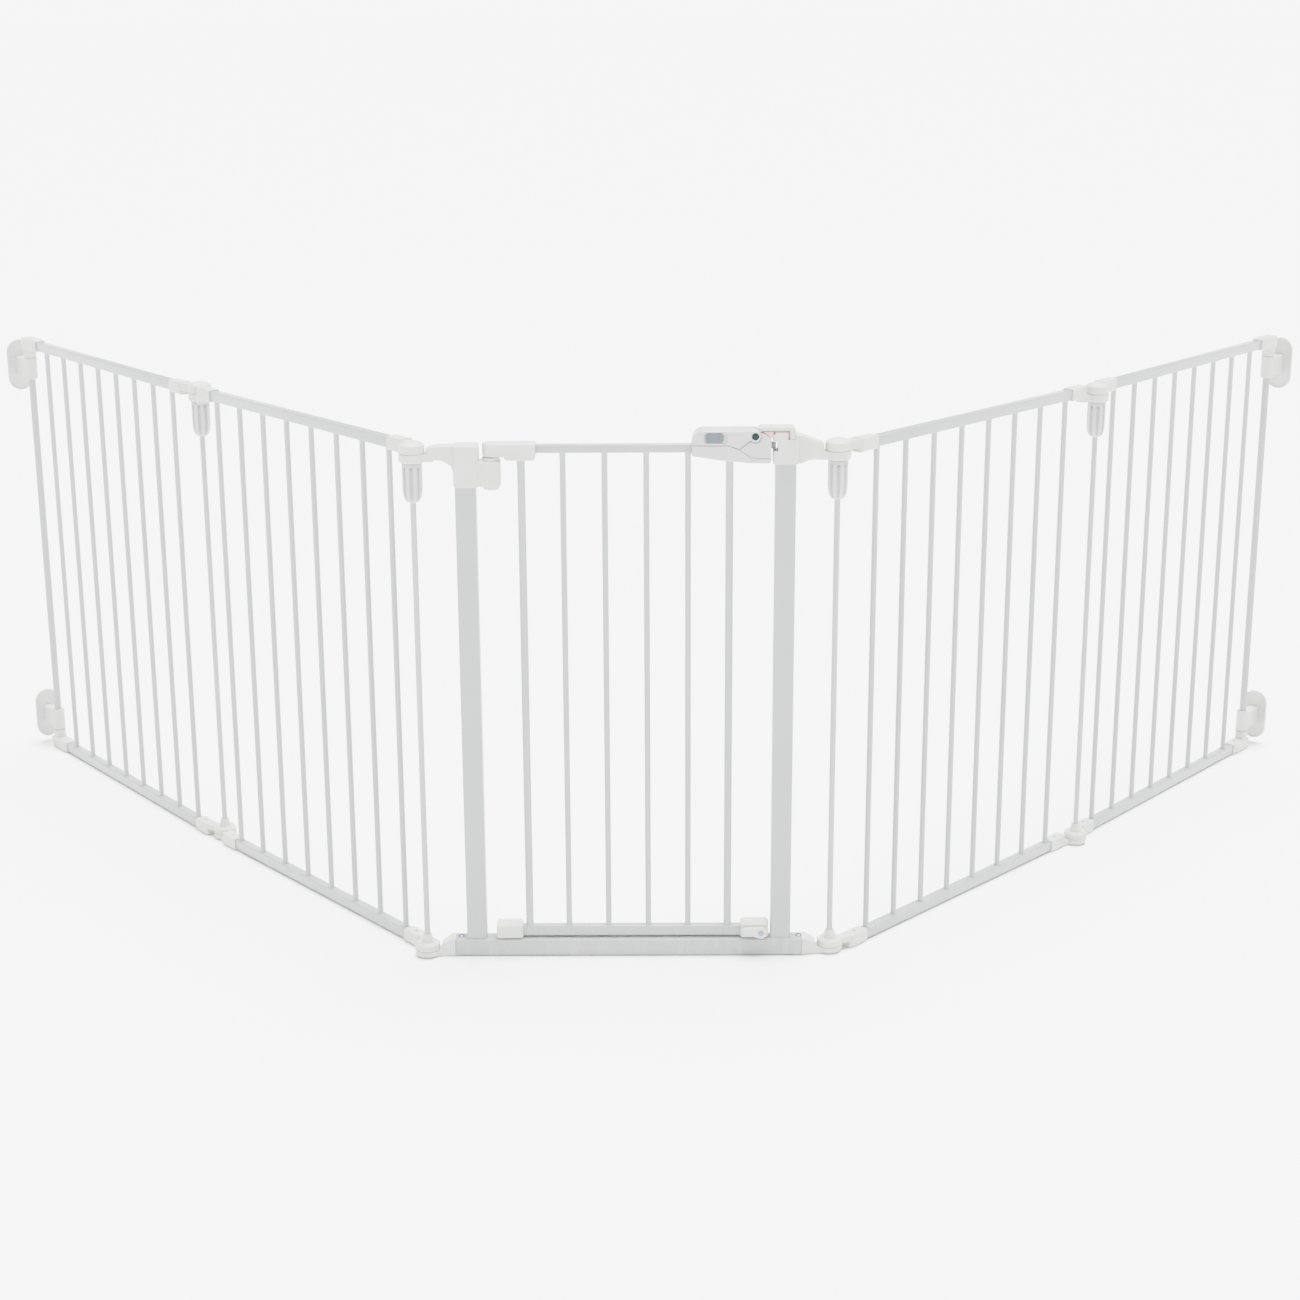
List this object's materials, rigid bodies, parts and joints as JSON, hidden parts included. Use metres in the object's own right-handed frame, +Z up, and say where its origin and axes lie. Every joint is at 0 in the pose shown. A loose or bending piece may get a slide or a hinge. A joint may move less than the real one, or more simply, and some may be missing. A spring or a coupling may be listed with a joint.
{
  "type": "pet gate",
  "caption": "Free-standing folding pet gate of barred steel panels, with a swinging door, lift-handle latch, knuckle locks and hinged wall plates.",
  "frame": {"origin": "on the floor, under the middle of the gate's threshold", "axes": "+X along the gate from the door's hinge to its latch, +Y towards the back, where the wings go, +Z up"},
  "size_m": [2.2387, 1.01, 0.7672],
  "materials": {
    "painted_steel": "satin powder coat",
    "white_plastic": "fine moulded texture",
    "grip_plastic": "smooth",
    "button_grey": "smooth",
    "zinc_steel": "zinc plated",
    "red_indicator": "gloss"
  },
  "bodies": {
    "frame": {"hinge_post": "painted_steel", "latch_post": "painted_steel", "threshold_bar": "painted_steel", "hinge_threshold_plug": "white_plastic", "latch_threshold_plug": "white_plastic", "hinge_bracket": "white_plastic", "hinge_cap": "white_plastic", "upper_hinge_pin": "zinc_steel", "lower_pivot_pin": "zinc_steel", "strike_bracket": "white_plastic", "strike_hood": "white_plastic", "lock_indicator": "red_indicator", "hinge_foot_screw": "zinc_steel", "latch_foot_screw": "zinc_steel"},
    "door": {"door_grille": "painted_steel", "hinge_arm": "white_plastic", "lower_pivot_block": "white_plastic", "foot_block": "white_plastic", "latch_housing": "white_plastic", "handle_pin": "zinc_steel", "foot_stop_screw": "zinc_steel"},
    "handle": {"handle_lever": "grip_plastic"},
    "button": {"slide_button": "button_grey"},
    "bolt": {"latch_bolt": "button_grey"},
    "stop": {"foot_stop": "white_plastic"},
    "left_inner_panel": {"left_inner_grille": "painted_steel", "left_inner_inner_top_fitting": "white_plastic", "left_inner_inner_bottom_fitting": "white_plastic", "left_inner_outer_top_fitting": "white_plastic", "left_inner_outer_bottom_fitting": "white_plastic"},
    "left_inner_lock": {"left_inner_lock_grip": "grip_plastic", "left_inner_lock_rod": "painted_steel"},
    "left_outer_panel": {"left_outer_grille": "painted_steel", "left_outer_inner_top_fitting": "white_plastic", "left_outer_inner_bottom_fitting": "white_plastic", "left_outer_top_corner": "white_plastic", "left_outer_bottom_corner": "white_plastic", "left_outer_end_post": "painted_steel"},
    "left_outer_lock": {"left_outer_lock_grip": "grip_plastic", "left_outer_lock_rod": "painted_steel"},
    "left_top_wall_bracket": {"left_outer_top_wall_bracket": "white_plastic"},
    "left_bottom_wall_bracket": {"left_outer_bottom_wall_bracket": "white_plastic"},
    "right_inner_panel": {"right_inner_grille": "painted_steel", "right_inner_inner_top_fitting": "white_plastic", "right_inner_inner_bottom_fitting": "white_plastic", "right_inner_outer_top_fitting": "white_plastic", "right_inner_outer_bottom_fitting": "white_plastic"},
    "right_inner_lock": {"right_inner_lock_grip": "grip_plastic", "right_inner_lock_rod": "painted_steel"},
    "right_outer_panel": {"right_outer_grille": "painted_steel", "right_outer_inner_top_fitting": "white_plastic", "right_outer_inner_bottom_fitting": "white_plastic", "right_outer_top_corner": "white_plastic", "right_outer_bottom_corner": "white_plastic", "right_outer_end_post": "painted_steel"},
    "right_outer_lock": {"right_outer_lock_grip": "grip_plastic", "right_outer_lock_rod": "painted_steel"},
    "right_top_wall_bracket": {"right_outer_top_wall_bracket": "white_plastic"},
    "right_bottom_wall_bracket": {"right_outer_bottom_wall_bracket": "white_plastic"}
  },
  "joints": [
    {"name": "door_hinge", "type": "hinge", "parent": "frame", "child": "door", "pos_m": [-0.182, 0, 0], "axis": [0, 0, 1], "range_deg": [-90, 90]},
    {"name": "handle_lift", "type": "hinge", "parent": "door", "child": "handle", "pos_m": [0.1753, 0, 0.7558], "axis": [0, 1, 0], "range_deg": [0, 14], "stiffness_Nm_per_rad": 0.4, "springref_deg": -5.73},
    {"name": "button_slide", "type": "slide", "parent": "handle", "child": "button", "axis": [1, 0, 0], "range_m": [0, 0.0045], "stiffness_N_per_m": 150, "springref_m": -0.002},
    {"name": "bolt_slide", "type": "slide", "parent": "door", "child": "bolt", "axis": [1, 0, 0], "range_m": [-0.0065, 0]},
    {"name": "stop_turn", "type": "hinge", "parent": "door", "child": "stop", "pos_m": [0.1889, 0, 0.0369], "axis": [0, 1, 0], "range_deg": [0, 60]},
    {"name": "left_inner_fold", "type": "hinge", "parent": "frame", "child": "left_inner_panel", "pos_m": [-0.2884, -0.0061, 0], "axis": [0, 0, 1], "range_deg": [-38, 48]},
    {"name": "left_inner_lock_turn", "type": "hinge", "parent": "frame", "child": "left_inner_lock", "pos_m": [-0.2884, -0.0061, 0], "axis": [0, 0, 1], "range_deg": [0, 180]},
    {"name": "left_outer_fold", "type": "hinge", "parent": "left_inner_panel", "child": "left_outer_panel", "pos_m": [-0.66346, 0.46722, 0], "axis": [0, 0, 1], "range_deg": [-13, 85]},
    {"name": "left_outer_lock_turn", "type": "hinge", "parent": "left_inner_panel", "child": "left_outer_lock", "pos_m": [-0.66346, 0.46722, 0], "axis": [0, 0, 1], "range_deg": [0, 180]},
    {"name": "left_top_wall_turn", "type": "hinge", "parent": "left_outer_panel", "child": "left_top_wall_bracket", "pos_m": [-1.04702, 0.93329, 0], "axis": [0, 0, 1], "range_deg": [-90, 90]},
    {"name": "left_bottom_wall_turn", "type": "hinge", "parent": "left_outer_panel", "child": "left_bottom_wall_bracket", "pos_m": [-1.04702, 0.93329, 0], "axis": [0, 0, 1], "range_deg": [-90, 90]},
    {"name": "right_inner_fold", "type": "hinge", "parent": "frame", "child": "right_inner_panel", "pos_m": [0.2884, 0.0061, 0], "axis": [0, 0, 1], "range_deg": [-47, 41]},
    {"name": "right_inner_lock_turn", "type": "hinge", "parent": "frame", "child": "right_inner_lock", "pos_m": [0.2884, 0.0061, 0], "axis": [0, 0, 1], "range_deg": [0, 180]},
    {"name": "right_outer_fold", "type": "hinge", "parent": "right_inner_panel", "child": "right_outer_panel", "pos_m": [0.71548, 0.43308, 0], "axis": [0, 0, 1], "range_deg": [-85, 12]},
    {"name": "right_outer_lock_turn", "type": "hinge", "parent": "right_inner_panel", "child": "right_outer_lock", "pos_m": [0.71548, 0.43308, 0], "axis": [0, 0, 1], "range_deg": [0, 180]},
    {"name": "right_top_wall_turn", "type": "hinge", "parent": "right_outer_panel", "child": "right_top_wall_bracket", "pos_m": [1.0949, 0.90252, 0], "axis": [0, 0, 1], "range_deg": [-90, 90]},
    {"name": "right_bottom_wall_turn", "type": "hinge", "parent": "right_outer_panel", "child": "right_bottom_wall_bracket", "pos_m": [1.0949, 0.90252, 0], "axis": [0, 0, 1], "range_deg": [-90, 90]}
  ],
  "couplings": [
    {"joint": "bolt_slide", "follows": "handle_lift", "m_per_rad": -0.0245}
  ]
}
